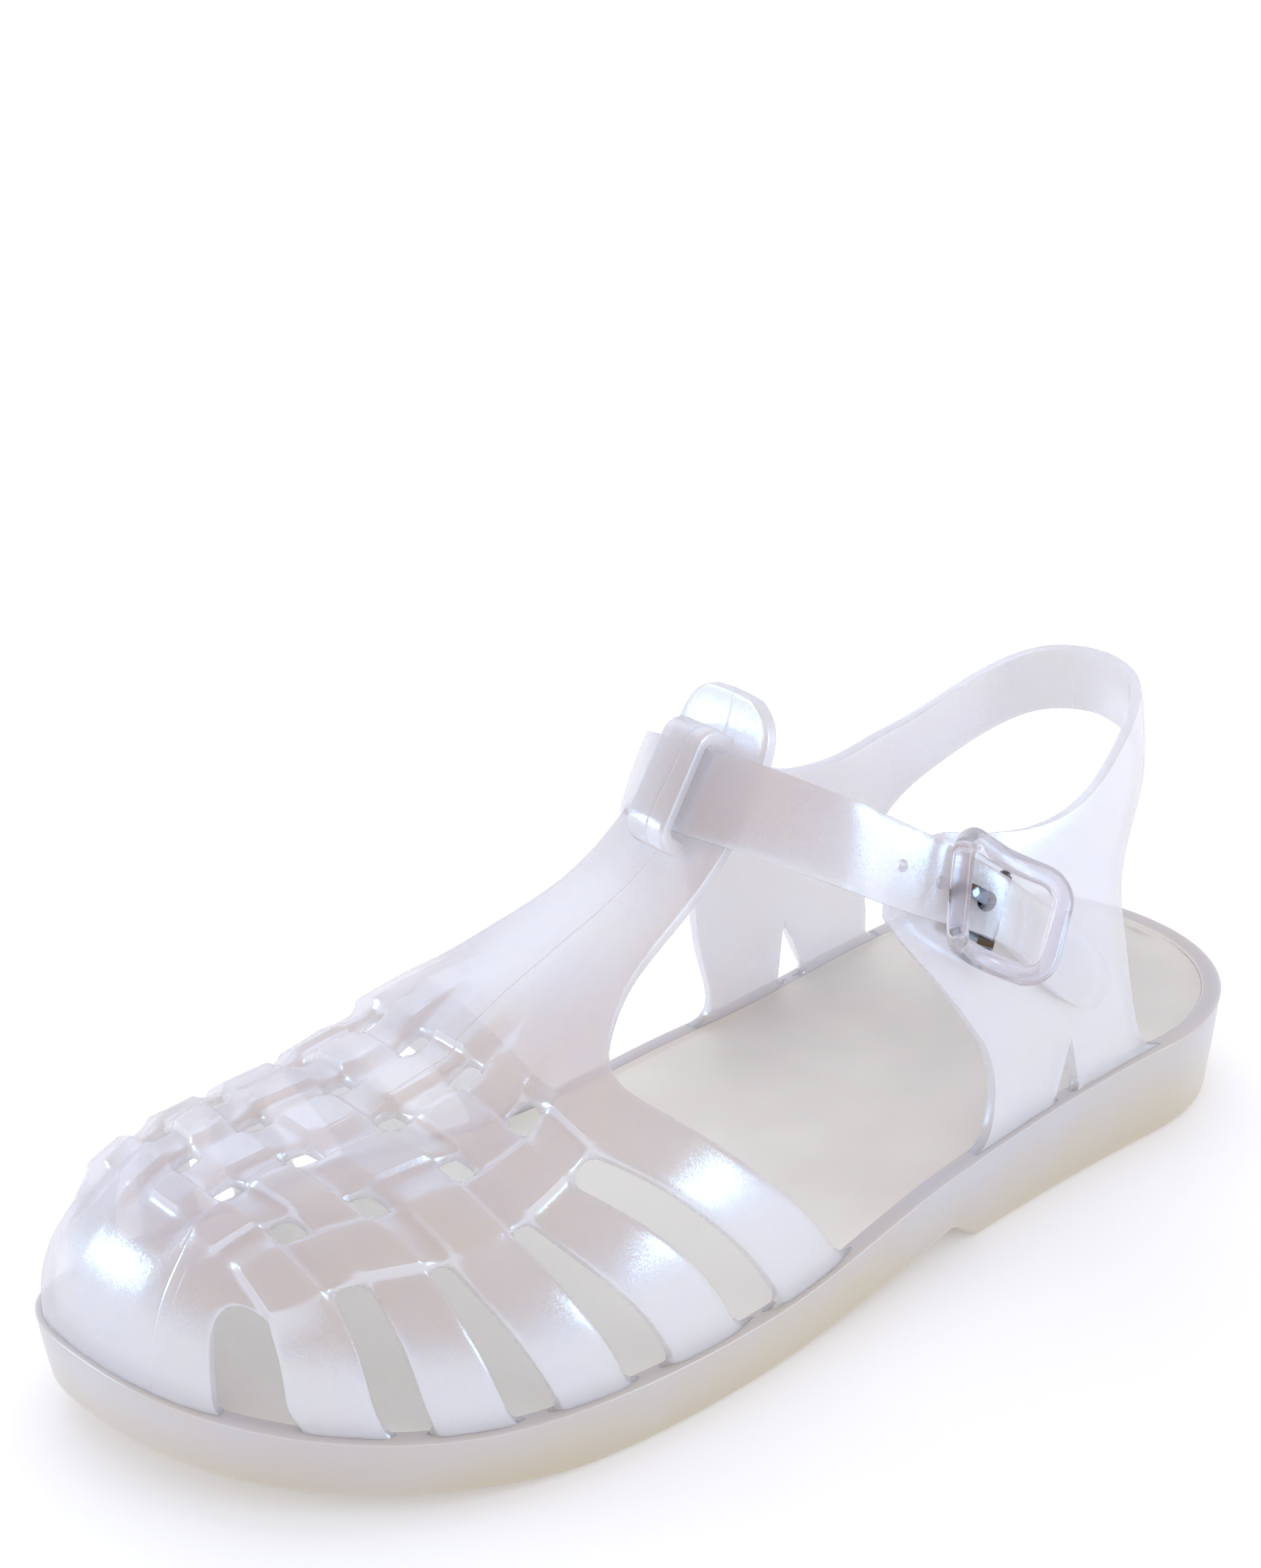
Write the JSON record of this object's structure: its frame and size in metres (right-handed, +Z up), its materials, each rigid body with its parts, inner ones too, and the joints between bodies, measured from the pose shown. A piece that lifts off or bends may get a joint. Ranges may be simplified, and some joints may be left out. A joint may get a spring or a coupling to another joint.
{
  "type": "jelly fisherman sandal",
  "caption": "Child's left moulded sandal with a woven closed-toe vamp, T-strap with keeper loop, slotted heel wings, heel sling and a buckled ankle strap, standing empty on its sole.",
  "frame": {"origin": "middle of the shoe's box in plan, on the floor under the sole", "axes": "+Z up, +Y towards the heel, toe at -Y, outer (lateral) side with the buckle at +X"},
  "size_m": [0.0764, 0.2038, 0.0846],
  "materials": {
    "cream_pvc": "moulded cream PVC, satin sides and a matt footbed",
    "pearl_pvc": "moulded translucent pearl PVC with a fine sparkle",
    "clear_buckle_plastic": "clear moulded plastic with a faint violet tint",
    "nickel_plated_steel": "bright nickel plate"
  },
  "bodies": {
    "root": {"sole": "cream_pvc", "upper": "pearl_pvc", "buckle_frame": "clear_buckle_plastic", "buckle_bar": "nickel_plated_steel", "buckle_prong": "nickel_plated_steel"}
  },
  "joints": []
}
